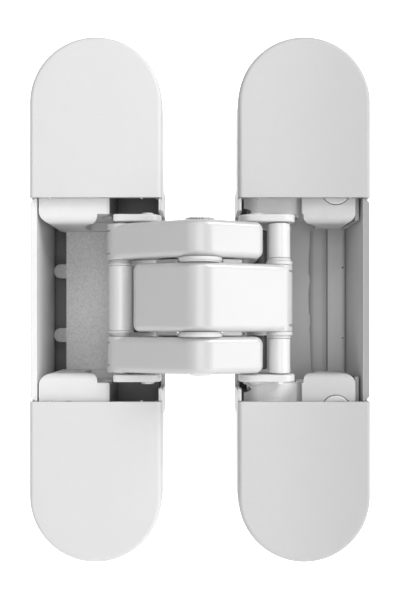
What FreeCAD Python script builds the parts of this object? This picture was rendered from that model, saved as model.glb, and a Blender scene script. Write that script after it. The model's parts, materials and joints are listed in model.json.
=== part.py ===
import FreeCAD, Part
import math
import os

os.makedirs("parts", exist_ok=True)

V = FreeCAD.Vector

# ---------------------------------------------------------------- sizes (mm)
# Local frame while building: u = X from the middle of the frame leaf towards
# the middle of the hinge, Y = depth behind the front plane, Z = up.
# The finished shapes move by -SEAT_DEPTH in Y, so that the origin is the
# middle of the frame leaf on the rear seat of its two end sections.
LEAF_WIDTH = 28.0
LEAF_LENGTH = 112.0
LEAF_PITCH = 44.70          # middle of one leaf to middle of the other, open flat
SEAT_DEPTH = 13.0           # depth of the end sections
BOX_DEPTH = 23.0            # depth of the middle box
BOX_HALF = 29.0             # half height of the middle box
RIM_FRONT = 0.70            # front of the shell's rim, just behind the covers
WALL_OUT = 1.5              # thick side wall
WALL_IN = 1.0               # thin side wall, next to the other leaf
CAVITY_HALF = 27.0          # half height of the cavity (it runs under the covers)
CAVITY_DEPTH = 21.5
COVER_R = 14.15
COVER_HALF = 56.3
COVER_EDGE = 21.9           # straight edge of each cover, from the middle
COVER_SKIRT = 3.1           # depth of the covers' skirt
SCREW_Z = (34.5, 48.0)      # fixing screw holes
SCREW_HOLE_R = 2.6
SCREW_HEAD_R = 4.9
WELL_FLOOR = 6.2

STACK_Z = 0.3               # the set of arms stands this much above the middle
CHEEK_Z = 16.3              # inner faces of the carrier's cheeks

# pivots in the frame leaf, hinge open flat (u, v); v = in front of the leaf
P_UV = (22.35, 5.0)         # centre pin
Q_UV = (5.25, -1.8)         # moving end pin
F_UV = (8.80, -12.92)       # deep fixed pin
G_UV = (10.30, -11.38)      # link pin
LINK_LEN = 10.873
LINK_DEG = 119.84           # direction of the link at rest
K_ARM = 0.475               # share of the swing taken at each deep pin
K_LINK = 0.4403             # link's turn per turn of the door

PIN_P, PIN_F, PIN_Q, PIN_G = 2.2, 1.9, 1.7, 1.3
FIT_SET = 0.03              # radial gap of a set pin
FIT_RUN = 0.05              # radial gap of a running pin
MID_HALF = 7.15             # middle arm, half height
OUT_LO, OUT_HI = 8.20, 15.85  # outer arms
HUB_R = 4.2                 # hub behind the crest
KNUCKLE_OUT = 3.05          # end of the outer arms round the moving pin
KNUCKLE_MID = 2.85          # end of the middle arm round the moving pin
CREST_R = 6.5               # radius of the crest between the two facets
APEX = 4.76                 # where the two facets would meet, in front of the centre pin
FACET = 25.5                # slope of the facets, degrees
LINK_LO, LINK_HI = 16.30, 17.90
STUB_R = 0.85               # stub of each link, in the socket of the moving pin
SOCKET_R = 1.33             # the socket leaves the stub its play
PIN_END = 16.25             # ends of the moving pins
LINK_Q_FRAME, LINK_Q_DOOR = 2.9, 3.0   # width of the link round its stub
LINK_FLAT = 0.98            # the frame links end flat, this far past the stub
LINK_FRONT_UV = (11.4, -1.9)           # front corner of the links' plate
LINK_FRONT_R = 2.6
LINK_G_R = 2.9
LINK_BOSS = (1.45, 0.6)     # raised boss on each link: radius, height
BOSS_Y = 2.6                # depth of the boss behind the front plane
BOSS_X_FRAME, BOSS_X_DOOR = 11.0, 10.0
LIP_Z = 17.7                # the frame carrier's lips reach this height
CLAMP_Z_FRAME = 24.15       # clamp screws, under the covers
CLAMP_Z_DOOR = 23.4         # these show half their heads
CLAMP_LOW = 0.65            # the lower one sits this much further under its cover

FX = LEAF_PITCH             # mirror: door leaf u' -> X = FX - u'


def door_clamp_z(sg):
    return STACK_Z + CLAMP_Z_DOOR if sg > 0 else STACK_Z - CLAMP_Z_DOOR - CLAMP_LOW


# ---------------------------------------------------------------- helpers
def box(x0, x1, y0, y1, z0, z1):
    return Part.makeBox(x1 - x0, y1 - y0, z1 - z0, V(x0, y0, z0))


def cyl(c, r, z0, z1):
    """Round bar along Z at c = (x, y)."""
    return Part.makeCylinder(r, z1 - z0, V(c[0], c[1], z0), V(0, 0, 1))


def ycyl(x, z, r, y0, y1):
    """Round bar along Y."""
    return Part.makeCylinder(r, y1 - y0, V(x, y0, z), V(0, 1, 0))


def ccw(pts):
    a = sum(p[0] * q[1] - q[0] * p[1] for p, q in zip(pts, pts[1:] + pts[:1]))
    return list(pts) if a > 0 else list(pts)[::-1]


def flat_face(pts, z=0.0):
    pts = ccw(list(pts))
    return Part.Face(Part.makePolygon([V(p[0], p[1], z) for p in pts + pts[:1]]))


def prism(pts, z0, z1):
    return flat_face(pts, z0).extrude(V(0, 0, z1 - z0))


def uv(p):
    """(u, v) -> (x, y)."""
    return (p[0], -p[1])


def mir(p):
    return (FX - p[0], p[1])


def hull_poly(pts):
    pts = sorted(set((round(a, 5), round(b, 5)) for a, b in pts))
    def half(ps):
        h = []
        for p in ps:
            while len(h) > 1 and (h[-1][0] - h[-2][0]) * (p[1] - h[-2][1]) - (h[-1][1] - h[-2][1]) * (p[0] - h[-2][0]) <= 0:
                h.pop()
            h.append(p)
        return h[:-1]
    return half(pts) + half(pts[::-1])


def circle_pts(c, r, n=28):
    return [(c[0] + r * math.cos(2 * math.pi * i / n), c[1] + r * math.sin(2 * math.pi * i / n)) for i in range(n)]


def turned(p, a):
    return (p[0] * math.cos(a) - p[1] * math.sin(a), p[0] * math.sin(a) + p[1] * math.cos(a))


def q_path(n=13):
    """Path of the moving pin in the leaf, in (x, y)."""
    out = []
    for i in range(n):
        c = math.pi * i / (n - 1)
        a = turned((P_UV[0] - F_UV[0], P_UV[1] - F_UV[1]), K_ARM * c)
        b = turned((Q_UV[0] - P_UV[0], Q_UV[1] - P_UV[1]), (1 - K_ARM) * c)
        out.append(uv((F_UV[0] + a[0] + b[0], F_UV[1] + a[1] + b[1])))
    return out


def tangent_leg(c1, r1, c2, r2):
    """Quadrilateral between the common outer tangents of two circles."""
    dx, dy = c2[0] - c1[0], c2[1] - c1[1]
    d = math.hypot(dx, dy)
    t = math.atan2(dy, dx)
    g = math.acos((r1 - r2) / d)
    pts = []
    for s, (c, r) in ((1, (c1, r1)), (1, (c2, r2)), (-1, (c2, r2)), (-1, (c1, r1))):
        pts.append((c[0] + r * math.cos(t + s * g), c[1] + r * math.sin(t + s * g)))
    return pts


def stadium(r, half, y0, y1, cx=0.0):
    """Long plate with round ends, its thickness along Y."""
    h = half - r
    e = [
        Part.makeLine(V(cx + r, y0, -h), V(cx + r, y0, h)),
        Part.Arc(V(cx + r, y0, h), V(cx, y0, h + r), V(cx - r, y0, h)).toShape(),
        Part.makeLine(V(cx - r, y0, h), V(cx - r, y0, -h)),
        Part.Arc(V(cx - r, y0, -h), V(cx, y0, -h - r), V(cx + r, y0, -h)).toShape(),
    ]
    return Part.Face(Part.Wire(e)).extrude(V(0, y1 - y0, 0))


def clean(s):
    s = s.removeSplitter()
    if s.ShapeType != "Solid" and len(s.Solids) == 1:
        s = s.Solids[0]
    return s


def soften(shape, pick, radii):
    """Fillet the edges that pick() accepts, with the first radius that works."""
    edges = [e for e in shape.Edges if pick(e)]
    for r in radii:
        try:
            s = shape.makeFillet(r, edges)
            if s.isValid() and s.Volume > 0 and len(s.Solids) == 1:
                return clean(s)
        except Exception:
            pass
    print("no fillet", radii, len(edges))
    return shape


def flat_at(e, z, tol=1e-4):
    return abs(e.BoundBox.ZMin - z) < tol and abs(e.BoundBox.ZMax - z) < tol


def at_y(e, y, tol=1e-4):
    return abs(e.BoundBox.YMin - y) < tol and abs(e.BoundBox.YMax - y) < tol


def mirrored(s):
    """Frame leaf shape -> the same on the door leaf."""
    return s.mirror(V(FX / 2, 0, 0), V(1, 0, 0))


PARTS = {}


def put(name, *shapes):
    out = []
    for s in shapes:
        s = s.copy()
        s.translate(V(0, -SEAT_DEPTH, 0))
        out.append(s)
    PARTS[name] = out


# ---------------------------------------------------------------- shells
def leaf_shell():
    r = LEAF_WIDTH / 2
    body = stadium(r, LEAF_LENGTH / 2, RIM_FRONT, SEAT_DEPTH)
    deep = box(-r, r, SEAT_DEPTH - 0.01, BOX_DEPTH, -BOX_HALF, BOX_HALF)
    deep = soften(deep, lambda e: abs(abs(e.CenterOfMass.z) - BOX_HALF) < 1e-3 and abs(abs(e.CenterOfMass.x) - r) < 1e-3, (4.0, 3.0))
    body = body.fuse(deep)
    # rear edges of the deep box
    cav = box(-r + WALL_OUT, r - WALL_IN, -1, CAVITY_DEPTH, -CAVITY_HALF, CAVITY_HALF)
    body = body.cut(cav)
    # step for the covers' skirt
    ring = stadium(r + 2, LEAF_LENGTH / 2 + 2, RIM_FRONT - 1, COVER_SKIRT + 0.1)
    ring = ring.cut(stadium(r - 1.4, LEAF_LENGTH / 2 - 1.4, RIM_FRONT - 1, COVER_SKIRT + 0.2))
    ring = ring.cut(box(-20, 20, -2, 10, -COVER_EDGE + 0.12, COVER_EDGE - 0.12))
    body = body.cut(ring)
    # the covers' plates lie on this plane
    low = box(-20, 20, RIM_FRONT - 1, 1.45, COVER_EDGE - 0.12, 70).fuse(box(-20, 20, RIM_FRONT - 1, 1.45, -70, -COVER_EDGE + 0.12))
    body = body.cut(low)
    for s in (1, -1):
        # well under each cover, with screw seats
        w = stadium(r - 3.0, LEAF_LENGTH / 2 - 3.0, RIM_FRONT - 1, WELL_FLOOR)
        keep = box(-20, 20, -5, 30, 29.2, 80) if s > 0 else box(-20, 20, -5, 30, -80, -29.2)
        body = body.cut(w.common(keep))
        for z in SCREW_Z:
            body = body.cut(ycyl(0, s * z, SCREW_HOLE_R, WELL_FLOOR - 1, SEAT_DEPTH + 1))
            cone = Part.makeCone(SCREW_HEAD_R, SCREW_HOLE_R, SCREW_HEAD_R - SCREW_HOLE_R, V(0, WELL_FLOOR, s * z), V(0, 1, 0))
            body = body.cut(cone)
    # opening for the arms in the thin wall, wider behind for the links
    gate = box(r - WALL_IN - 0.5, r + 1, -1, 4.5, -19.3, 19.3)
    gate = soften(gate, lambda e: abs(abs(e.CenterOfMass.z) - 19.3) < 1e-3 and abs(e.CenterOfMass.x - (r + 1)) < 1e-3, (1.8, 1.4))
    body = body.cut(gate)
    body = body.cut(box(r - WALL_IN - 0.5, r + 1, 4.4, 18.2, -20.0, 20.0))
    # the thick wall's rim slopes into the cavity
    xw = -r + WALL_OUT
    slope = prism([(-r + 0.12, RIM_FRONT - 0.4), (-r + 0.12, RIM_FRONT), (xw - 0.25, RIM_FRONT + 0.62), (xw + 0.02, RIM_FRONT + 1.35), (xw + 0.5, RIM_FRONT + 1.35), (xw + 0.5, RIM_FRONT - 0.4)], -COVER_EDGE - 0.4, COVER_EDGE + 0.4)
    body = body.cut(slope)
    # draft of the thick wall, from a faint line half way down
    body = body.cut(prism([(xw - 0.28, RIM_FRONT - 0.4), (xw - 0.28, RIM_FRONT + 0.9), (xw, 9.5), (xw + 0.5, 9.5), (xw + 0.5, RIM_FRONT - 0.4)], -COVER_EDGE - 0.4, COVER_EDGE + 0.4))
    # the thin wall is thinner at its front edge
    xt = r - WALL_IN
    body = body.cut(prism([(xt - 0.5, RIM_FRONT - 0.4), (xt + 0.5, RIM_FRONT - 0.4), (xt + 0.5, RIM_FRONT + 0.5), (xt, 6.5), (xt - 0.5, 6.5)], -COVER_EDGE - 0.4, COVER_EDGE + 0.4))
    # small bevelled corners where the rims run under the covers
    for s in (1, -1):
        w = [V(-r - 0.3, -1, s * 20.5), V(-r - 0.3, -1, s * 22.5), V(-r + 1.3, -1, s * 22.5), V(-r + 1.0, -1, s * 21.95)]
        body = body.cut(Part.Face(Part.makePolygon(w + w[:1])).extrude(V(0, 3.4, 0)))
    return clean(body)


shell = leaf_shell()
shell = soften(shell, lambda e: at_y(e, BOX_DEPTH) and (e.BoundBox.XMax > 13.9 or e.BoundBox.XMin < -13.9 or abs(e.CenterOfMass.z) > BOX_HALF - 5), (1.2, 0.8, 0.5))
put("frame_shell", shell)
put("door_shell", mirrored(shell))


# ---------------------------------------------------------------- covers
def cover(sign):
    plate = stadium(COVER_R, COVER_HALF, 0.0, 1.4)
    skirt = stadium(COVER_R, COVER_HALF, 0.0, COVER_SKIRT)
    skirt = skirt.cut(stadium(COVER_R - 1.35, COVER_HALF - 1.35, 1.4, COVER_SKIRT + 1))
    s = plate.fuse(skirt)
    half = box(-20, 20, -5, 20, COVER_EDGE, 80)
    s = clean(s.common(half))
    s = soften(s, lambda e: at_y(e, 0.0) and e.BoundBox.ZMax > COVER_EDGE + 0.01, (0.9, 0.7, 0.5))
    # snap legs and locating ribs
    for x in (-9.6, 9.6):
        for z in (31.5, 42.0):
            s = s.fuse(box(x - 0.6, x + 0.6, 1.0, 5.6, z - 1.5, z + 1.5))
    # two small gate marks on the straight edge
    for x in (-9.8, 9.8):
        s = s.fuse(ycyl(x, COVER_EDGE + 0.02, 0.30, 0.35, 1.2))
    s = clean(s)
    if sign < 0:
        s = s.mirror(V(0, 0, 0), V(0, 0, 1))
    return s


for side in ("frame", "door"):
    for name, sg in (("top", 1), ("bottom", -1)):
        c = cover(sg)
        put(side + "_cover_" + name, c if side == "frame" else mirrored(c))


# ---------------------------------------------------------------- room for links and moving pins
def clip_left(pts, x):
    """The part of a convex outline to the right of x."""
    out = []
    for a, b in zip(pts, pts[1:] + pts[:1]):
        if a[0] >= x:
            out.append(a)
        if (a[0] - x) * (b[0] - x) < 0:
            t = (x - a[0]) / (b[0] - a[0])
            out.append((x, a[1] + t * (b[1] - a[1])))
    return out


def link_outline(q_r, turn, grow, flat=None):
    """Outline points of a link turned by `turn` about its pin, grown all round."""
    t = math.radians(LINK_DEG)
    q = (G_UV[0] + LINK_LEN * math.cos(t), G_UV[1] + LINK_LEN * math.sin(t))
    pts = []
    for c, r in ((q, q_r), (LINK_FRONT_UV, LINK_FRONT_R), (G_UV, LINK_G_R)):
        pts += circle_pts(c, r + grow, 36)
    if flat is not None:
        pts = clip_left(hull_poly(pts), q[0] - flat - grow)
    out = []
    for p in pts:
        d = turned((p[0] - G_UV[0], p[1] - G_UV[1]), turn)
        out.append(uv((G_UV[0] + d[0], G_UV[1] + d[1])))
    return out


def link_room(q_r, flat=None, grow=0.3, steps=12):
    """Everything a link sweeps from open to closed, with a margin."""
    s = None
    for i in range(steps):
        a = math.pi * K_LINK * i / (steps - 1)
        b = math.pi * K_LINK * min(i + 1, steps - 1) / (steps - 1)
        f = flat_face(hull_poly(link_outline(q_r, a, grow, flat) + link_outline(q_r, b, grow, flat)))
        s = f if s is None else s.fuse(f)
    s = s.removeSplitter()
    return s


def boss_room(bx, grow=0.35, steps=13):
    """What the boss of a link sweeps."""
    g = uv(G_UV)
    s = None
    for i in range(steps - 1):
        pts = []
        for k in (i, i + 1):
            d = turned((bx - g[0], BOSS_Y - g[1]), -math.pi * K_LINK * k / (steps - 1))
            pts += circle_pts((g[0] + d[0], g[1] + d[1]), LINK_BOSS[0] + grow, 36)
        f = flat_face(hull_poly(pts))
        s = f if s is None else s.fuse(f)
    return s.removeSplitter()


ROOM_FRAME = link_room(LINK_Q_FRAME, LINK_FLAT)
ROOM_DOOR = mirrored(link_room(LINK_Q_DOOR))
BOSS_FRAME = boss_room(BOSS_X_FRAME)
BOSS_DOOR = mirrored(boss_room(BOSS_X_DOOR))
ROOM_TOP = LINK_HI + 0.35
BOSS_TOP = LINK_HI + LINK_BOSS[1] + 0.35


def room(face, z0, z1):
    f = face.copy()
    f.translate(V(0, 0, z0))
    return f.extrude(V(0, 0, z1 - z0))


def both(f):
    return [f(1), f(-1)]


def zspan(sg, a, b):
    """Span a..b above the middle of the arm set, or its mirror below."""
    lo, hi = (STACK_Z + a, STACK_Z + b) if sg > 0 else (STACK_Z - b, STACK_Z - a)
    return lo, hi


def rolled_cheek(b, zi, roll, corners):
    """Block with a rolled front edge at height zi and rounded corners seen from the
    front, corners = (x, radius); its upright edges stay sharp."""
    s = soften(b, lambda e: at_y(e, 1.7) and abs(e.CenterOfMass.z - zi) < 1e-3, (roll,))
    for x, r in corners:
        k = soften(b, lambda e: abs(e.CenterOfMass.x - x) < 1e-3 and abs(e.CenterOfMass.z - zi) < 1e-3, (r,))
        s = s.common(k)
    return clean(s)


# ---------------------------------------------------------------- frame carrier
def frame_carrier():
    f = uv(F_UV)
    g = uv(G_UV)
    s = box(-9.5, 12.6, 18.5, 20.4, -26.2, 26.8)
    for z in (7.3, -7.9):
        tab = box(-11.0, -9.0, 18.5, 20.4, z - 1.65, z + 1.65).fuse(ycyl(-10.8, z, 1.65, 18.5, 20.4))
        s = s.fuse(tab)
    for sg in (1, -1):
        lo, hi = zspan(sg, CHEEK_Z, 26.4)
        b = rolled_cheek(box(-12.46, 12.6, 1.7, 19.0, lo, hi), lo if sg > 0 else hi, 1.6, [(-12.46, 2.6)])
        s = s.fuse(b)
    for sg in (1, -1):
        # room for the link, and the deep pocket behind it
        a, c = zspan(sg, CHEEK_Z - 0.5, ROOM_TOP)
        s = s.cut(room(ROOM_FRAME, a, c))
        a, c = zspan(sg, LINK_HI - 0.1, BOSS_TOP)
        s = s.cut(room(BOSS_FRAME, a, c))
        a, c = zspan(sg, LIP_Z, 30.0)
        well = box(2.75, 14.0, -1, 18.3, a, c)
        s = s.cut(well)
    for sg in (1, -1):
        # lugs next to the middle arm for the deep pin, and above it the link's pin
        a, c = zspan(sg, 7.45, 16.2)
        lug = cyl(f, 3.2, a, c).fuse(box(6.9, 12.0, f[1], 19.0, a, c))
        a, c = zspan(sg, 12.5, 16.2)
        lug = lug.fuse(cyl(g, 2.3, a, c)).fuse(box(8.0, 12.6, g[1], 19.0, a, c))
        s = s.fuse(lug)
    for sg in (1, -1):
        a, c = zspan(sg, 7.0, 13.95)
        s = s.cut(cyl(f, PIN_F + FIT_SET, a, c))
        a, c = zspan(sg, 14.15, 17.0)
        s = s.cut(cyl(g, PIN_G + FIT_SET, a, c))
        # clamp screw hole in each cheek
        a = STACK_Z + sg * CLAMP_Z_FRAME
        s = s.cut(ycyl(-6.0, a, 1.1, 0, 30))
        s = s.cut(ycyl(-6.0, a, 2.05, 0, 4.2))
    return clean(s)


fc = frame_carrier()
print("frame carrier solids", len(fc.Solids), fc.isValid())
put("frame_carrier", max(fc.Solids, key=lambda s: s.Volume))


# ---------------------------------------------------------------- door carrier
def mbox(u0, u1, y0, y1, z0, z1):
    """Box given by u' of the door leaf."""
    return box(FX - u1, FX - u0, y0, y1, z0, z1)


def door_carrier():
    f = mir(uv(F_UV))
    g = mir(uv(G_UV))
    zl, zh = -26.2, 26.8
    # grooved floor; the cast edge of the groove is a little wavy
    s = mbox(-11.75, 12.6, 18.5, 21.3, zl, zh).fuse(mbox(-12.4, -11.5, 19.7, 21.3, zl, zh))
    wavy = [(3.75, 28.0), (3.85, 17.0), (3.75, 13.0), (3.65, 12.1), (3.5, 6.9), (3.75, 6.2), (3.86, 4.9), (3.58, 3.1),
            (3.46, 2.4), (3.5, 0.5), (3.56, -2.7), (3.86, -3.2), (3.85, -5.5), (3.68, -6.4), (3.85, -7.5), (3.95, -11.5), (4.05, -13.1), (4.15, -16.6), (4.2, -28.0)]
    w = [V(FX + k, 17.8, z) for k, z in wavy] + [V(FX + 8.1, 17.8, -28.0), V(FX + 8.1, 17.8, 28.0)]
    s = s.cut(Part.Face(Part.makePolygon(w + w[:1])).extrude(V(0, 2.6, 0)))
    # nicks in the free edge and a fine line across the ridge
    for z, r in ((8.2, 0.30), (-8.6, 0.27), (14.9, 0.16)):
        s = s.cut(ycyl(FX + 11.72, z, r, 18.0, 21.0))
    s = s.cut(mbox(-11.8, -8.0, 18.0, 18.58, 8.02, 8.16))
    # ears beside the blocks, along the outer wall
    for z0, z1 in ((zl, STACK_Z - 17.0), (STACK_Z + 17.0, zh)):
        s = s.fuse(mbox(-12.2, -11.35, 3.0, 20.6, z0, z1))
    # central lug for the deep pin
    s = s.fuse(cyl(f, 3.2, STACK_Z - 7.6, STACK_Z + 7.6)).fuse(mbox(6.9, 12.0, f[1], 19.0, STACK_Z - 7.6, STACK_Z + 7.6))
    for sg in (1, -1):
        # end walls with the shelf behind each link
        a, c = zspan(sg, CHEEK_Z, 26.4)
        w = mbox(0.6, 12.6, 7.0, 19.0, a, c)
        s = s.fuse(w)
        # concave corner between the end wall's face and the block
        cove = [(FX - 2.95, 7.3)]
        for i in range(9):
            t = math.pi / 2 * i / 8
            cove.append((FX - 2.95 + 2.6 * math.sin(t), 7.0 - 2.6 * (1 - math.cos(t))))
        cove.append((FX - 0.35, 7.3))
        s = s.fuse(prism(cove, a, c))
    for sg in (1, -1):
        a, c = zspan(sg, CHEEK_Z - 0.5, ROOM_TOP)
        s = s.cut(room(ROOM_DOOR, a, c))
        a, c = zspan(sg, LINK_HI - 0.1, BOSS_TOP)
        s = s.cut(room(BOSS_DOOR, a, c))
        # ragged opening at the thin wall
        pts = [(13.4, 21.2), (12.5, 20.5), (11.7, 20.4), (10.9, 19.9), (11.3, 19.2), (12.2, 18.7), (13.4, 18.4)]
        w = [V(FX - p[0], 1.0, sg * p[1]) for p in pts]
        hole = Part.Face(Part.makePolygon(w + w[:1])).extrude(V(0, 17.0, 0))
        s = s.cut(hole)
    for sg in (1, -1):
        s = s.cut(cyl(f, PIN_F + FIT_SET, STACK_Z - 8.0, STACK_Z + 8.0))
        a, c = zspan(sg, 16.0, 21.3)
        s = s.cut(cyl(g, PIN_G + FIT_SET, a, c))
        # hole for the clamp screw in the floor
        s = s.cut(ycyl(FX + 7.0, door_clamp_z(sg), 1.6, 17.0, 21.4))
    return clean(s)


dc = door_carrier()
print("door carrier solids", len(dc.Solids), dc.isValid(), [round(x.Volume, 1) for x in dc.Solids])
put("door_carrier", max(dc.Solids, key=lambda s: s.Volume))


# ---------------------------------------------------------------- door cheek blocks
def door_block(sg):
    a, c = zspan(sg, CHEEK_Z, 26.4)
    zi = a if sg > 0 else c
    b = mbox(-11.2, 0.3, 1.7, 12.6, a, c)
    b = rolled_cheek(b, zi, 1.5, [(FX + 11.2, 2.2), (FX - 0.3, 0.7)])
    # foot that stands on the floor, under the cover
    a2, c2 = zspan(sg, 22.0, 26.4)
    b = b.fuse(mbox(-11.0, -8.3, 12.0, 18.5, a2, c2)).fuse(mbox(-3.6, 0.3, 12.0, 18.5, a2, c2))
    z = door_clamp_z(sg)
    b = b.cut(ycyl(FX + 7.0, z, 1.6, 0, 19)).cut(ycyl(FX + 7.0, z, 3.25, 0, 3.3))
    # room for the link
    a3, c3 = zspan(sg, CHEEK_Z - 1, ROOM_TOP)
    b = b.cut(room(ROOM_DOOR, a3, c3))
    a3, c3 = zspan(sg, LINK_HI - 0.1, BOSS_TOP)
    b = b.cut(room(BOSS_DOOR, a3, c3))
    return clean(b)


for name, sg in (("upper", 1), ("lower", -1)):
    b = door_block(sg)
    print("block", name, len(b.Solids), b.isValid())
    put("door_block_" + name, max(b.Solids, key=lambda s: s.Volume))


# ---------------------------------------------------------------- adjusting and clamp screws
def cap_screw(x, z, head_r, head_y0, head_y1, shank_r, end_y, hex_r):
    s = ycyl(x, z, head_r, head_y0, head_y1)
    s = soften(s, lambda e: at_y(e, head_y0), (0.25,))
    s = s.fuse(ycyl(x, z, shank_r, head_y1 - 0.1, end_y))
    pts = [(x + hex_r * math.cos(math.radians(60 * i + 30)), z + hex_r * math.sin(math.radians(60 * i + 30))) for i in range(6)]
    w = Part.makePolygon([V(p[0], head_y0 - 0.5, p[1]) for p in pts + pts[:1]])
    s = s.cut(Part.Face(w).extrude(V(0, min(2.0, head_y1 - head_y0 + 0.9), 0)))
    return clean(s)


put("frame_clamp_screws", *[cap_screw(-6.0, STACK_Z + sg * CLAMP_Z_FRAME, 1.95, 1.9, 4.15, 1.05, 19.8, 0.95) for sg in (1, -1)])
put("door_clamp_screws", *[cap_screw(FX + 7.0, door_clamp_z(sg), 3.1, 1.55, 3.25, 1.55, 20.3, 1.5) for sg in (1, -1)])


# ---------------------------------------------------------------- arms
def arm_profile(p, q, f, sgn, q_r, xs):
    """Outline of an arm lying flat: hub at p, moving end q, deep end f, shoulder's
    side at the distance xs from the hub. sgn = -1 when the deep end lies towards -X."""
    sl = math.radians(FACET)
    yc = p[1] - APEX + CREST_R / math.cos(sl)
    hub = HUB_R - 0.25
    t = tangent_leg((p[0], yc), CREST_R, q, q_r)
    front = min(((t[0], t[1]), (t[3], t[2])), key=lambda k: k[0][1] + k[1][1])
    t = tangent_leg(p, hub, q, q_r)
    rear = max(((t[0], t[1]), (t[3], t[2])), key=lambda k: k[0][1] + k[1][1])
    s = sgn
    t1 = (p[0] + s * CREST_R * math.sin(sl), yc - CREST_R * math.cos(sl))
    yv = p[1] - APEX + xs * math.tan(sl)
    # the broad crest: sector of a large circle, tangent to both facets
    crest = Part.Face(Part.Wire([
        Part.Arc(V(t1[0], t1[1], 0), V(p[0], yc - CREST_R, 0), V(front[0][0], front[0][1], 0)).toShape(),
        Part.makeLine(V(front[0][0], front[0][1], 0), V(p[0], yc, 0)),
        Part.makeLine(V(p[0], yc, 0), V(t1[0], t1[1], 0))]))
    shoulder = [t1, (p[0] + s * xs, yv), (p[0] + s * xs, 1.2), (p[0] + s * (xs - 2.45), 5.0),
                (p[0] + s * 9.0, 5.6), (p[0], p[1] + 3.0), (p[0], yc)]
    faces = [crest, flat_face(shoulder), flat_face([front[0], front[1], rear[1], rear[0]]),
             flat_face(tangent_leg(p, 3.7, f, 3.2)), flat_face([front[0], (p[0], yc), rear[0]])]
    for c, r in ((p, hub), (q, q_r), (f, 3.2)):
        faces.append(Part.Face(Part.Wire(Part.makeCircle(r, V(c[0], c[1], 0)))))
    same = []
    for k in faces:
        if k.Surface.Axis.z * (1 if k.Orientation == "Forward" else -1) < 0:
            k = k.reversed()
        same.append(k)
    fu = same[0].fuse(same[1:]).removeSplitter()
    if len(fu.Faces) != 1:
        print("arm outline in", len(fu.Faces), "faces")
    return max(fu.Faces, key=lambda x: x.Area)


def make_arm(face, z0, z1, holes, side, corner, knuckle, nicks, radii=(1.3, 1.1, 0.9, 0.7)):
    """side = (X of the shoulder's side, +1 or -1 outward), corner = its radius seen
    from the front, knuckle = (centre, radius, outward), nicks = their heights."""
    s = face.extrude(V(0, 0, z1 - z0))
    s.translate(V(0, 0, z0))
    if s.ShapeType != "Solid":
        s = s.Solids[0]
    xs, out = side
    x0, x1 = (xs - 60, xs) if out > 0 else (xs, xs + 60)
    mask = box(x0, x1, -40, 40, z0, z1)
    mask = mask.makeFillet(corner, [e for e in mask.Edges if abs(e.CenterOfMass.x - xs) < 1e-3 and abs(e.BoundBox.YMax - e.BoundBox.YMin) > 50])
    s = clean(s.common(mask))

    def outline(e):
        # the front edges, from one armpit round the shoulder to the other
        b, c = e.BoundBox, e.CenterOfMass
        if c.y > 4.3 or (c.y > 1.0 and out * (c.x - P[0]) > 0):
            return False
        if abs(c.x - (xs - out * corner)) < 1e-3 and b.XMax - b.XMin < 1e-3:
            return False
        if flat_at(e, z0) or flat_at(e, z1):
            return True
        if abs(c.x - xs) < 1e-3 and b.ZMax - b.ZMin > 1 and b.YMax - b.YMin < 1e-3 and c.y < 0:
            return True
        return abs(c.x - xs) < corner and b.ZMax - b.ZMin > 0.3 and e.Curve.TypeId != "Part::GeomLine" and c.y < 0

    s = soften(s, outline, radii)
    kc, kr, kout = knuckle
    s = s.fuse(soften(cyl(kc, kr, z0, z1), lambda e: flat_at(e, z0) or flat_at(e, z1), (0.25,)))
    for c, r in holes:
        s = s.cut(cyl(c, r, z0 - 1, z1 + 1))
    for z in nicks:
        n = kc[0] + kout * (kr - 0.5)
        s = s.cut(box(n - 0.42, n + 0.42, -9.0, kc[1] - kr * 0.15, z - 0.22, z + 0.22))
    return clean(s)


P = uv(P_UV)
QL, FL, GL = uv(Q_UV), uv(F_UV), uv(G_UV)
QR, FR, GR = mir(QL), mir(FL), mir(GL)

def ribs(d0, d1, z0, z1):
    """Two short ribs behind the facets, from d0 to d1 behind them, clear of the washers."""
    out = []
    for s in (1, -1):
        y = [P[1] - APEX + k * math.tan(math.radians(FACET)) for k in (4.2, 8.8)]
        pts = [(P[0] + s * 4.2, y[0] + d0), (P[0] + s * 8.8, y[1] + d0), (P[0] + s * 8.8, y[1] + d1), (P[0] + s * 4.2, y[0] + d1)]
        out.append(prism(pts, z0, z1).cut(cyl(P, 4.85, z0 - 1, z1 + 1)))
    return [k for r in out for k in r.Solids]


side = 22.35 - 8.35
mid_face = arm_profile(P, QR, FL, -1, KNUCKLE_MID, side)
mid = make_arm(mid_face, STACK_Z - MID_HALF, STACK_Z + MID_HALF, [(P, PIN_P + FIT_SET), (QR, PIN_Q + FIT_SET), (FL, PIN_F + FIT_RUN)],
               (P[0] - side, -1), 1.35, (QR, KNUCKLE_MID, 1), [STACK_Z + 5.8, STACK_Z - 5.8])
# low ribs beside the washers, towards the outer arms
for sg in (1, -1):
    for one in ribs(2.2, 3.7, *zspan(sg, MID_HALF - 0.2, OUT_LO - 0.3)):
        mid = mid.fuse(one)
mid = clean(mid)
put("middle_arm", mid)

side = 22.35 - 9.2
out_face = arm_profile(P, QL, FR, 1, KNUCKLE_OUT, side)
for name, sg in (("upper", 1), ("lower", -1)):
    a, c = zspan(sg, OUT_LO, OUT_HI)
    arm = make_arm(out_face, a, c, [(P, PIN_P + FIT_RUN), (QL, PIN_Q + FIT_SET), (FR, PIN_F + FIT_RUN)],
                   (P[0] + side, 1), 1.6, (QL, KNUCKLE_OUT, -1), [STACK_Z + sg * 9.5, STACK_Z + sg * 14.3])
    for one in ribs(5.6, 7.1, *zspan(sg, MID_HALF + 0.3, OUT_LO + 0.2)):
        arm = arm.fuse(one)
    arm = clean(arm)
    put(name + "_outer_arm", arm)

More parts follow.
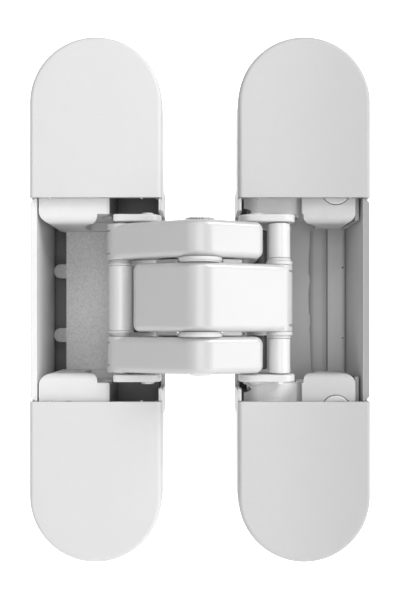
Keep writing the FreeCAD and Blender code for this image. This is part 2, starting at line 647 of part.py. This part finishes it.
# ---------------------------------------------------------------- pins, sleeves, washers
cp = cyl(P, PIN_P, STACK_Z - 16.15, STACK_Z + 15.95)
cp = soften(cp, lambda e: flat_at(e, STACK_Z - 16.15), (0.3,))
head = cyl(P, 3.1, STACK_Z + 15.92, STACK_Z + 16.28)
for i in range(30):
    t = 2 * math.pi * i / 30
    head = head.cut(cyl((P[0] + 3.15 * math.cos(t), P[1] + 3.15 * math.sin(t)), 0.24, STACK_Z + 15.5, STACK_Z + 17.0))
put("centre_pin", clean(cp.fuse(head)))


def ring(c, r_out, r_in, z0, z1, f=0.2):
    s = cyl(c, r_out, z0, z1)
    if f:
        s = soften(s, lambda e: True if (flat_at(e, z0) or flat_at(e, z1)) else False, (f, f / 2))
    return clean(s.cut(cyl(c, r_in, z0 - 1, z1 + 1)))


def turned_ring(c, r_in, steps, sg, f=0.1):
    """Ring made of stacked steps (outer radius, from, to), measured from the middle."""
    s = None
    for r, z0, z1 in steps:
        a, b = zspan(sg, z0, z1)
        k = soften(cyl(c, r, a, b), lambda e: flat_at(e, a) or flat_at(e, b), (f,))
        s = k if s is None else s.fuse(k)
    a, b = zspan(sg, steps[0][1] - 1, steps[-1][2] + 1)
    return clean(s.cut(cyl(c, r_in, a, b)))


put("centre_washers", *[turned_ring(P, PIN_P + FIT_SET, [(4.45, MID_HALF + 0.02, 7.48), (4.65, 7.46, OUT_LO - 0.02)], sg, 0.08) for sg in (1, -1)])

# deep pins
fp = cyl(FL, PIN_F, STACK_Z - 13.85, STACK_Z + 13.85)
put("frame_deep_pin", soften(fp, lambda e: flat_at(e, STACK_Z - 13.85) or flat_at(e, STACK_Z + 13.85), (0.3,)))
dp = cyl(FR, PIN_F, STACK_Z - 15.95, STACK_Z + 15.95)
put("door_deep_pin", soften(dp, lambda e: flat_at(e, STACK_Z - 15.95) or flat_at(e, STACK_Z + 15.95), (0.3,)))
put("door_deep_washers", *[ring(FR, 3.0, PIN_F + FIT_SET, *zspan(sg, 7.62, 8.15), f=0.1) for sg in (1, -1)])


def moving_pin(c):
    """Pin right through the arm set, with a socket for a link's stub in each end."""
    s = cyl(c, PIN_Q, STACK_Z - PIN_END, STACK_Z + PIN_END)
    s = soften(s, lambda e: flat_at(e, STACK_Z - PIN_END) or flat_at(e, STACK_Z + PIN_END), (0.12,))
    for sg in (1, -1):
        a, b = zspan(sg, PIN_END - 1.7, PIN_END + 1)
        s = s.cut(cyl(c, SOCKET_R, a, b))
    return clean(s)


put("frame_moving_pin", moving_pin(QL))
put("door_moving_pin", moving_pin(QR))

# left sleeve between the outer arms with its two flared collars
put("frame_sleeve", ring(QL, 2.7, PIN_Q + FIT_SET, STACK_Z - 6.98, STACK_Z + 6.98, f=0.2))


def flared(c, sg):
    """Saucer-shaped collar: thin rim at the sleeve, hollow flank up to the arm."""
    z = [7.0, 7.3, 7.42, 7.62, 7.9, OUT_LO - 0.03]
    r = [2.78, 2.78, 2.62, 2.42, 2.28, 2.2]
    pts = [V(c[0] + a, c[1], STACK_Z + sg * b) for a, b in zip(r, z)]
    e = [Part.makeLine(pts[0], pts[1])]
    sp = Part.BSplineCurve()
    sp.interpolate(pts[1:])
    e.append(sp.toShape())
    i1 = V(c[0] + PIN_Q + FIT_SET, c[1], STACK_Z + sg * z[-1])
    i0 = V(c[0] + PIN_Q + FIT_SET, c[1], STACK_Z + sg * z[0])
    e += [Part.makeLine(pts[-1], i1), Part.makeLine(i1, i0), Part.makeLine(i0, pts[0])]
    s = Part.Face(Part.Wire(e)).revolve(V(c[0], c[1], 0), V(0, 0, 1), 360)
    if s.ShapeType != "Solid":
        s = s.Solids[0]
    if s.Volume < 0:
        s.reverse()
    return s


put("frame_collars", *[flared(QL, sg) for sg in (1, -1)])
# right sleeves above and below the middle arm, on two-step collars
put("door_sleeve_upper", ring(QR, 2.4, PIN_Q + FIT_SET, *zspan(1, 8.66, 16.1), f=0.22))
put("door_sleeve_lower", ring(QR, 2.4, PIN_Q + FIT_SET, *zspan(-1, 8.66, 16.1), f=0.22))
put("door_collars", *[turned_ring(QR, PIN_Q + FIT_SET, [(2.85, MID_HALF + 0.02, 7.98), (2.45, 7.9, 8.62)], sg, 0.2) for sg in (1, -1)])


# ---------------------------------------------------------------- links
def link(side, sg):
    """Flat cast link: it turns on its own pin and has a stub for the moving pin."""
    q_r = LINK_Q_FRAME if side == "frame" else LINK_Q_DOOR
    t = math.radians(LINK_DEG)
    q = uv((G_UV[0] + LINK_LEN * math.cos(t), G_UV[1] + LINK_LEN * math.sin(t)))
    g, k = uv(G_UV), uv(LINK_FRONT_UV)
    a, b = zspan(sg, LINK_LO, LINK_HI)
    # outline with true arcs: three circles and the tangents between them
    s = cyl(q, q_r, a, b).fuse([cyl(k, LINK_FRONT_R, a, b), cyl(g, LINK_G_R, a, b),
                               prism(tangent_leg(g, LINK_G_R, q, q_r), a, b),
                               prism(tangent_leg(k, LINK_FRONT_R, q, q_r), a, b),
                               prism(tangent_leg(g, LINK_G_R, k, LINK_FRONT_R), a, b),
                               prism([q, k, g], a, b)])
    s = clean(s)
    if side == "frame":
        # flat end just past the stub, clear of the carrier's lip
        s = clean(s.cut(box(q[0] - 10, q[0] - LINK_FLAT, q[1] - 10, q[1] + 10, a - 1, b + 1)))
    s = soften(s, lambda e: flat_at(e, a) or flat_at(e, b), (0.35, 0.25, 0.15))
    # raised boss
    bx = BOSS_X_FRAME if side == "frame" else BOSS_X_DOOR
    z0, z1 = zspan(sg, LINK_HI - 0.1, LINK_HI + LINK_BOSS[1])
    zo = z1 if sg > 0 else z0
    s = s.fuse(soften(cyl((bx, BOSS_Y), LINK_BOSS[0], z0, z1), lambda e: flat_at(e, zo), (0.35,)))
    # stub
    z0, z1 = zspan(sg, PIN_END - 1.45, LINK_LO + 0.2)
    zo = z0 if sg > 0 else z1
    s = s.fuse(soften(cyl(q, STUB_R, z0, z1), lambda e: flat_at(e, zo), (0.2,)))
    s = s.cut(cyl(g, PIN_G + FIT_RUN, a - 1, b + 1))
    s = clean(s)
    return mirrored(s) if side == "door" else s


def link_pin(g, z0, z1, h0, h1, sg):
    """Pin of a link: plain shank from z0 to z1 and a head from h0 to h1."""
    s = cyl(g, PIN_G, *zspan(sg, z0, z1))
    a, b = zspan(sg, h0, h1)
    h = soften(cyl(g, 1.75, a, b), lambda e: flat_at(e, a) or flat_at(e, b), (0.12,))
    return clean(s.fuse(h))


for name, sg in (("upper", 1), ("lower", -1)):
    put("frame_link_" + name, link("frame", sg))
    put("door_link_" + name, link("door", sg))
put("frame_link_pins", *[link_pin(GL, 14.2, LINK_HI + 0.1, LINK_HI + 0.06, LINK_HI + 0.7, sg) for sg in (1, -1)])
put("door_link_pins", *[link_pin(GR, 16.32, 21.2, LINK_HI + 0.04, LINK_HI + 0.33, sg) for sg in (1, -1)])

# ---------------------------------------------------------------- write
for name in sorted(PARTS):
    shapes = PARTS[name]
    shape = shapes[0] if len(shapes) == 1 else Part.makeCompound(shapes)
    bad = [i for i, s in enumerate(shapes) if not s.isValid() or len(s.Solids) != 1]
    bb = shape.BoundBox
    print("%-22s %d solids  X %.2f..%.2f Y %.2f..%.2f Z %.2f..%.2f%s" % (
        name, len(shape.Solids), bb.XMin, bb.XMax, bb.YMin, bb.YMax, bb.ZMin, bb.ZMax, "  BAD %s" % bad if bad else ""))
    shape.exportStep("parts/%s.step" % name)
print(len(PARTS), "pieces")
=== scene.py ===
import json
import math

import bpy
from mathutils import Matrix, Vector

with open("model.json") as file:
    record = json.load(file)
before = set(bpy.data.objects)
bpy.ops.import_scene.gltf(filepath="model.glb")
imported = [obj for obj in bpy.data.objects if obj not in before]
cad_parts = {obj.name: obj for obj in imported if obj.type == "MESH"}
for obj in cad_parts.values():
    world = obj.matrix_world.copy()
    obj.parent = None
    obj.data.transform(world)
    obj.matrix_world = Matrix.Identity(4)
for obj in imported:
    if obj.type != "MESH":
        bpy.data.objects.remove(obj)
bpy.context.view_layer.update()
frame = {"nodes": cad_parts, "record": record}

NODES = frame["nodes"]
S = bpy.context.scene

# tone of a plain studio photograph: no film curve, so that a white ground stays white
S.view_settings.view_transform = "Standard"
S.view_settings.look = "None"


# ------------------------------------------------------------------ materials
def principled(name):
    m = bpy.data.materials.new(name)
    m.use_nodes = True
    nt = m.node_tree
    bsdf = nt.nodes["Principled BSDF"]
    return m, nt, bsdf


def coords(nt, scale):
    tc = nt.nodes.new("ShaderNodeTexCoord")
    mp = nt.nodes.new("ShaderNodeMapping")
    mp.inputs["Scale"].default_value = (scale, scale, scale) if isinstance(scale, (int, float)) else scale
    nt.links.new(tc.outputs["Object"], mp.inputs["Vector"])
    return mp.outputs["Vector"]


def noise(nt, vec, scale, detail=2.0, rough=0.5):
    n = nt.nodes.new("ShaderNodeTexNoise")
    n.inputs["Scale"].default_value = scale
    n.inputs["Detail"].default_value = detail
    n.inputs["Roughness"].default_value = rough
    nt.links.new(vec, n.inputs["Vector"])
    return n.outputs["Fac"]


def ramp(nt, fac, lo, hi, a, b):
    r = nt.nodes.new("ShaderNodeMapRange")
    r.inputs["From Min"].default_value = lo
    r.inputs["From Max"].default_value = hi
    r.inputs["To Min"].default_value = a
    r.inputs["To Max"].default_value = b
    nt.links.new(fac, r.inputs["Value"])
    return r.outputs["Result"]


def grey_mix(nt, fac, dark, light):
    m = nt.nodes.new("ShaderNodeMix")
    m.data_type = "RGBA"
    m.inputs["A"].default_value = (*dark, 1)
    m.inputs["B"].default_value = (*light, 1)
    nt.links.new(fac, m.inputs["Factor"])
    return m.outputs["Result"]


def add(nt, a, b, wa=1.0, wb=1.0):
    def scaled(x, w):
        if w == 1.0:
            return x
        k = nt.nodes.new("ShaderNodeMath")
        k.operation = "MULTIPLY"
        k.inputs[1].default_value = w
        nt.links.new(x, k.inputs[0])
        return k.outputs[0]
    s = nt.nodes.new("ShaderNodeMath")
    s.operation = "ADD"
    nt.links.new(scaled(a, wa), s.inputs[0])
    nt.links.new(scaled(b, wb), s.inputs[1])
    return s.outputs[0]


def bump(nt, height, distance, strength=1.0):
    b = nt.nodes.new("ShaderNodeBump")
    b.inputs["Strength"].default_value = strength
    b.inputs["Distance"].default_value = distance
    nt.links.new(height, b.inputs["Height"])
    return b.outputs["Normal"]


def window(nt, sep, axis, lo, hi, soft):
    """1 between lo and hi along one axis of the object, falling to 0 over `soft`."""
    def edge(at, up):
        r = nt.nodes.new("ShaderNodeMapRange")
        r.interpolation_type = "SMOOTHSTEP"
        r.inputs["From Min"].default_value = at - soft / 2
        r.inputs["From Max"].default_value = at + soft / 2
        r.inputs["To Min"].default_value = 0.0 if up else 1.0
        r.inputs["To Max"].default_value = 1.0 if up else 0.0
        nt.links.new(sep.outputs[axis], r.inputs["Value"])
        return r.outputs["Result"]
    parts = []
    if lo is not None:
        parts.append(edge(lo, True))
    if hi is not None:
        parts.append(edge(hi, False))
    if len(parts) == 1:
        return parts[0]
    m = nt.nodes.new("ShaderNodeMath")
    m.operation = "MULTIPLY"
    nt.links.new(parts[0], m.inputs[0])
    nt.links.new(parts[1], m.inputs[1])
    return m.outputs[0]


def region(nt, spans):
    """Mask of a box-shaped region of the object; spans = (axis, lo, hi, soft) rows in metres."""
    tc = nt.nodes.new("ShaderNodeTexCoord")
    sep = nt.nodes.new("ShaderNodeSeparateXYZ")
    nt.links.new(tc.outputs["Object"], sep.inputs[0])
    out = None
    for axis, lo, hi, soft in spans:
        w = window(nt, sep, axis, lo, hi, soft)
        if out is None:
            out = w
        else:
            m = nt.nodes.new("ShaderNodeMath")
            m.operation = "MULTIPLY"
            nt.links.new(out, m.inputs[0])
            nt.links.new(w, m.inputs[1])
            out = m.outputs[0]
    return out


def finish_paint(name, grey, rough, spec, coat, coat_rough, grain, grain_scale, peel, speckle=0.0, metal=0.0, mottling=0.02, tint=(1.0, 1.0, 1.0), painted_shade_and_light=(), vary=1.0, grit=None):
    """Sprayed lacquer on metal: fine grain, soft orange peel, slight mottling and specks.
    Rows of (spans, factor) are painted shade and painted light: the colour is made darker or lighter in a region of the
    piece."""
    m, nt, bsdf = principled(name)
    v = coords(nt, 1.0)
    cloud = noise(nt, v, 160.0, 3.0, 0.55)
    fine = noise(nt, v, grain_scale, 2.0, 0.6)
    dot = noise(nt, v, grain_scale * 0.45, 4.0, 0.75)
    f = add(nt, ramp(nt, cloud, 0.3, 0.7, 0.0, 1.0), ramp(nt, dot, 0.35, 0.75, 0.0, 1.0), mottling, speckle)
    base = nt.nodes.new("ShaderNodeMapRange")
    base.inputs["From Min"].default_value = 0.0
    base.inputs["From Max"].default_value = 1.0
    base.inputs["To Min"].default_value = grey
    base.inputs["To Max"].default_value = grey * 0.25
    nt.links.new(f, base.inputs["Value"])
    value = base.outputs["Result"]
    # painted shade and painted light: the colour made darker or lighter region by region
    for spans, factor in painted_shade_and_light:
        k = ramp(nt, region(nt, spans), 0.0, 1.0, 1.0, factor)
        mm = nt.nodes.new("ShaderNodeMath")
        mm.operation = "MULTIPLY"
        nt.links.new(value, mm.inputs[0])
        nt.links.new(k, mm.inputs[1])
        value = mm.outputs[0]
    if grit:
        # sand-like texture of a cast face
        spans, depth, scale = grit
        g = ramp(nt, noise(nt, v, scale, 1.0, 0.5), 0.30, 0.70, 1.0 - depth, 1.0 + depth * 0.5)
        gm = nt.nodes.new("ShaderNodeMix")
        gm.data_type = "FLOAT"
        gm.inputs["A"].default_value = 1.0
        nt.links.new(region(nt, spans), gm.inputs["Factor"])
        nt.links.new(g, gm.inputs["B"])
        mm = nt.nodes.new("ShaderNodeMath")
        mm.operation = "MULTIPLY"
        nt.links.new(value, mm.inputs[0])
        nt.links.new(gm.outputs["Result"], mm.inputs[1])
        value = mm.outputs[0]
    comb = nt.nodes.new("ShaderNodeCombineColor")
    for i, ch in enumerate(("Red", "Green", "Blue")):
        k = nt.nodes.new("ShaderNodeMath")
        k.operation = "MULTIPLY"
        k.inputs[1].default_value = tint[i]
        nt.links.new(value, k.inputs[0])
        nt.links.new(k.outputs[0], comb.inputs[ch])
    nt.links.new(comb.outputs["Color"], bsdf.inputs["Base Color"])
    rr = ramp(nt, cloud, 0.25, 0.75, rough - 0.03 * vary, rough + 0.04 * vary)
    nt.links.new(rr, bsdf.inputs["Roughness"])
    bsdf.inputs["Metallic"].default_value = metal
    bsdf.inputs["Specular IOR Level"].default_value = spec
    bsdf.inputs["Coat Weight"].default_value = coat
    bsdf.inputs["Coat Roughness"].default_value = coat_rough
    h = add(nt, fine, cloud, grain, peel)
    nt.links.new(bump(nt, h, 0.0001), bsdf.inputs["Normal"])
    return m


def turned_steel(name, grey, rough):
    """Ground steel: fine rings round the pin's axis."""
    m, nt, bsdf = principled(name)
    v = coords(nt, (1.0, 1.0, 14.0))
    lines = noise(nt, v, 900.0, 2.0, 0.5)
    cloud = noise(nt, coords(nt, 1.0), 220.0, 3.0, 0.6)
    col = grey_mix(nt, ramp(nt, add(nt, lines, cloud, 0.6, 0.4), 0.35, 0.65, 0.0, 1.0), (grey * 0.86,) * 3, (grey,) * 3)
    nt.links.new(col, bsdf.inputs["Base Color"])
    bsdf.inputs["Metallic"].default_value = 0.75
    nt.links.new(ramp(nt, cloud, 0.3, 0.7, rough, rough + 0.12), bsdf.inputs["Roughness"])
    nt.links.new(bump(nt, lines, 0.00002), bsdf.inputs["Normal"])
    return m


def nylon(name, grey, rough):
    """Moulded bearing plastic: soft sheen, faint flow lines."""
    m, nt, bsdf = principled(name)
    v = coords(nt, (1.0, 1.0, 3.0))
    flow = noise(nt, v, 260.0, 3.0, 0.55)
    fine = noise(nt, v, 2600.0, 2.0, 0.5)
    col = grey_mix(nt, ramp(nt, flow, 0.3, 0.7, 0.0, 1.0), (grey * 0.95,) * 3, (grey,) * 3)
    nt.links.new(col, bsdf.inputs["Base Color"])
    nt.links.new(ramp(nt, flow, 0.3, 0.7, rough - 0.04, rough + 0.05), bsdf.inputs["Roughness"])
    nt.links.new(bump(nt, add(nt, fine, flow, 0.4, 0.6), 0.00004), bsdf.inputs["Normal"])
    bsdf.inputs["Specular IOR Level"].default_value = 0.5
    return m


# Painted shade inside each leaf: the colour darkens with depth, matched to the photo.
def cavity_painted_shade(cx, sg, front):
    lo, hi = (cx - 0.01285, cx + 0.0131) if sg > 0 else (cx - 0.0131, cx + 0.01285)
    sides = [(0, lo, hi, 0.0004), (2, -0.0272, 0.0272, 0.0006), (1, None, 0.0092, 0.0004)]
    return [([*sides, (1, -0.0085, None, 0.0085)], front),
            ([*sides, (1, 0.0070, None, 0.0030)], 0.30)]


def outside(cx):
    """Flanks and rear of a shell, the faces that go into the wood: the colour made darker than at the front (a guess).
    """
    return [([(0, cx + 0.01385, None, 0.0003)], 0.74), ([(0, None, cx - 0.01385, 0.0003)], 0.84),
            ([(1, 0.0094, None, 0.0004)], 0.76)]


# painted shade: the deep corner pockets of the frame carrier, behind the links, made dark in colour
POCKET_SHADE = [([(0, 0.0022, 0.0140, 0.0003), (1, -0.0103, None, 0.0010), (2, lo, hi, 0.0008)], 0.34)
           for lo, hi in ((0.0178, 0.0280), (-0.0274, -0.0172))]
# painted light: the rolled cheeks, the lightest part of the frame leaf, made lighter in colour
CHEEK_LIGHT = [([(0, None, 0.0022, 0.0003), (1, None, -0.0085, 0.0020), (2, lo, hi, 0.0010)], 1.15)
          for lo, hi in ((0.0150, None), (None, -0.0144))]
# the cast floor of the frame carrier: painted light makes the floor lighter, painted shade makes it darker at its two
# small tabs
FLOOR_LIGHT_TAB_SHADE = [([(1, 0.0048, None, 0.0012)], 1.06), ([(0, None, -0.0095, 0.0006), (1, 0.0048, None, 0.0012)], 0.68)]
GRIT = ([(1, 0.0048, None, 0.0006), (2, -0.0168, 0.0174, 0.0010)], 0.13, 2300.0)
# door carrier: painted light on the shelves behind the links; painted shade in the dark opening beside them,
# on the ears at the outer wall, and in both corners of the groove
SHELF_LIGHT = [([(0, 0.0345, 0.0445, 0.0030), (1, -0.0070, -0.0020, 0.0010), (2, lo, hi, 0.0012)], 2.05)
           for lo, hi in ((0.0175, None), (None, -0.0169))]
OPENING_SHADE = [([(0, None, 0.0341, 0.0008), (1, -0.0058, None, 0.0004), (2, lo, hi, 0.0010)], 0.10)
           for lo, hi in ((0.0170, 0.0225), (-0.0219, -0.0164))]
EAR_SHADE = [([(0, 0.0553, 0.0572, 0.0004), (1, None, -0.0010, 0.0030), (2, lo, hi, 0.0010)], 0.62)
        for lo, hi in ((0.0165, None), (None, -0.0159))]
GROOVE_SHADE = [([(0, 0.0470, 0.0494, 0.0014), (1, 0.0060, None, 0.0006), (2, -0.0166, 0.0172, 0.0010)], 0.62),
          ([(0, 0.0518, 0.0534, 0.0012), (1, 0.0060, None, 0.0006), (2, -0.0166, 0.0172, 0.0010)], 0.80)]
# painted shade on the rim of the door shell's outer wall, which faces away from the light: darker than its front
RIM_SHADE = [([(0, 0.0575, None, 0.0006), (1, None, -0.0108, 0.0010), (2, -0.0222, 0.0222, 0.0006)], 0.70)]
# painted shade on the skirts of the covers: a little darker than their fronts
SKIRT_SHADE = [([(1, -0.0126, None, 0.0006)], 0.82)]
# painted shade on the hubs of the arms, inside the leaves
HUB_SHADE = [([(1, -0.0035, None, 0.0030)], 0.45)]

M = {
    "cover": finish_paint("cover_lacquer", 0.61, 0.52, 0.35, 0.0, 0.3, 0.35, 4200.0, 0.25, speckle=0.010, mottling=0.012, painted_shade_and_light=SKIRT_SHADE),
    # the door covers: a darker copy of the cover lacquer, darker still towards the outer edge: painted shade
    "cover_door": finish_paint("cover_lacquer_door_shaded", 0.515, 0.52, 0.35, 0.0, 0.3, 0.35, 4200.0, 0.25, speckle=0.010, mottling=0.012,
                               painted_shade_and_light=SKIRT_SHADE + [([(0, 0.0470, None, 0.0300)], 0.84)]),
    "casting": finish_paint("shell_lacquer", 0.66, 0.42, 0.45, 0.10, 0.3, 0.30, 2600.0, 0.5, speckle=0.010, mottling=0.02, painted_shade_and_light=cavity_painted_shade(0.0, 1, 0.62) + outside(0.0)),
    "casting_door": finish_paint("shell_lacquer_door", 0.64, 0.42, 0.45, 0.10, 0.3, 0.30, 2600.0, 0.5, speckle=0.010, mottling=0.02, painted_shade_and_light=cavity_painted_shade(0.0447, -1, 0.98) + RIM_SHADE + outside(0.0447)),
    "carrier": finish_paint("carrier_lacquer", 0.60, 0.46, 0.40, 0.0, 0.3, 0.25, 1500.0, 0.2, speckle=0.01, mottling=0.010,
                            painted_shade_and_light=FLOOR_LIGHT_TAB_SHADE + POCKET_SHADE + CHEEK_LIGHT, grit=GRIT),
    # the door carrier: a darker copy of the carrier lacquer: painted shade
    "carrier_door": finish_paint("carrier_lacquer_door_shaded", 0.55, 0.46, 0.40, 0.0, 0.3, 0.5, 1500.0, 0.5, speckle=0.02, mottling=0.015,
                                 painted_shade_and_light=SHELF_LIGHT + OPENING_SHADE + EAR_SHADE + GROOVE_SHADE),
    "block": finish_paint("block_lacquer", 0.475, 0.46, 0.40, 0.0, 0.3, 0.4, 2200.0, 0.3, speckle=0.012, mottling=0.012),
    "arm": finish_paint("arm_lacquer", 0.508, 0.30, 0.55, 0.75, 0.22, 0.05, 2200.0, 0.015, speckle=0.003, mottling=0.003, vary=0.15, painted_shade_and_light=HUB_SHADE),
    "link": finish_paint("link_lacquer", 0.61, 0.38, 0.5, 0.2, 0.25, 0.20, 2200.0, 0.3, speckle=0.008, mottling=0.01),
    "screw": finish_paint("screw_plating", 0.55, 0.36, 0.5, 0.1, 0.2, 0.35, 1800.0, 0.8, speckle=0.02, metal=0.15),
    "pin": turned_steel("pin_steel", 0.62, 0.34),
    "pin_deep": turned_steel("pin_dark_steel", 0.10, 0.45),
    "bearing": nylon("washer_nylon", 0.60, 0.38),
    "sleeve": finish_paint("sleeve_lacquer", 0.64, 0.25, 0.5, 0.55, 0.10, 0.05, 2200.0, 0.03, speckle=0.003, mottling=0.003, vary=0.15),
}

SLOT_OF = {sp["node"]: sp["material_slot"] for sp in frame["record"]["subparts"]}
for name, o in NODES.items():
    key = SLOT_OF.get(name, "casting")
    if name == "door_shell":
        key = "casting_door"
    if name.startswith("door_cover"):
        key = "cover_door"
    if name == "door_carrier":
        key = "carrier_door"
    if name.startswith("door_block"):
        key = "block"
    if name.endswith("deep_pin"):
        key = "pin_deep"
    o.data.materials.clear()
    o.data.materials.append(M[key])


# ------------------------------------------------------------------ stage
def stage_material(name, grey):
    m, nt, bsdf = principled(name)
    v = coords(nt, 1.0)
    n = noise(nt, v, 6.0, 2.0, 0.5)
    col = grey_mix(nt, n, (grey * 0.985,) * 3, (grey,) * 3)
    nt.links.new(col, bsdf.inputs["Base Color"])
    bsdf.inputs["Roughness"].default_value = 0.9
    bsdf.inputs["Emission Color"].default_value = (1, 1, 1, 1)
    # the paper glows by its own emission, a painted glow: strong at the back, weak in front of the hinge
    sep = nt.nodes.new("ShaderNodeSeparateXYZ")
    nt.links.new(v, sep.inputs[0])
    nt.links.new(ramp(nt, sep.outputs[1], -0.20, 0.20, 0.18, 0.90), bsdf.inputs["Emission Strength"])
    return m


def sweep_floor():
    """Pale floor that curves up into a backdrop."""
    zf, yb, r = -0.16, 0.75, 0.35
    prof = [(-2.4, zf), (yb - r, zf)]
    for i in range(1, 17):
        a = math.pi / 2 * i / 16
        prof.append((yb - r + r * math.sin(a), zf + r - r * math.cos(a)))
    prof.append((yb, 3.2))
    verts, faces = [], []
    for x in (-3.6, 3.6):
        for y, z in prof:
            verts.append((x, y, z))
    n = len(prof)
    for i in range(n - 1):
        faces.append((i, i + 1, n + i + 1, n + i))
    me = bpy.data.meshes.new("studio_floor")
    me.from_pydata(verts, [], faces)
    for p in me.polygons:
        p.use_smooth = True
    o = bpy.data.objects.new("studio_floor", me)
    S.collection.objects.link(o)
    me.materials.append(stage_material("studio_paper", 0.9))
    return o


sweep_floor()

world = bpy.data.worlds.new("studio_world")
S.world = world
world.use_nodes = True
bg = world.node_tree.nodes["Background"]
bg.inputs["Color"].default_value = (1, 1, 1, 1)
bg.inputs["Strength"].default_value = 0.07


def area(name, loc, target, size, power):
    ld = bpy.data.lights.new(name, "AREA")
    ld.shape = "RECTANGLE"
    ld.size, ld.size_y = size
    ld.energy = power
    o = bpy.data.objects.new(name, ld)
    S.collection.objects.link(o)
    o.location = loc
    d = Vector(target) - Vector(loc)
    o.rotation_euler = d.to_track_quat("-Z", "Y").to_euler()
    return o


CENTRE = Vector((0.02235, -0.013, 0.0))


def softbox(name, azimuth, elevation, distance, size, power):
    """Area light at a direction seen from the hinge; azimuth 0 is in front, + is to the right."""
    a, e = math.radians(azimuth), math.radians(elevation)
    d = Vector((math.sin(a) * math.cos(e), -math.cos(a) * math.cos(e), math.sin(e)))
    return area(name, CENTRE + d * distance, CENTRE, size, power)


softbox("key_right", 52, 40, 0.60, (0.28, 0.28), 2.38)
softbox("side_right", 57, 2, 0.60, (0.28, 0.28), 0.86)
softbox("front_top", 0, 38, 0.60, (0.28, 0.28), 0.70)
softbox("front_low", 0, 2, 0.60, (0.28, 0.28), 0.56)
softbox("fill_left", -30, 20, 0.60, (0.28, 0.28), 0.31)

# ------------------------------------------------------------------ camera
cam_data = bpy.data.cameras.new("camera")
cam_data.sensor_width = 36.0
cam_data.lens = 44.93
cam_data.shift_y = 0.0382
cam_data.clip_start = 0.005
cam_data.clip_end = 20.0
cam = bpy.data.objects.new("camera", cam_data)
S.collection.objects.link(cam)
cam.location = (0.02235, -0.173, -0.005)
cam.rotation_euler = (math.radians(90), 0, 0)
S.camera = cam
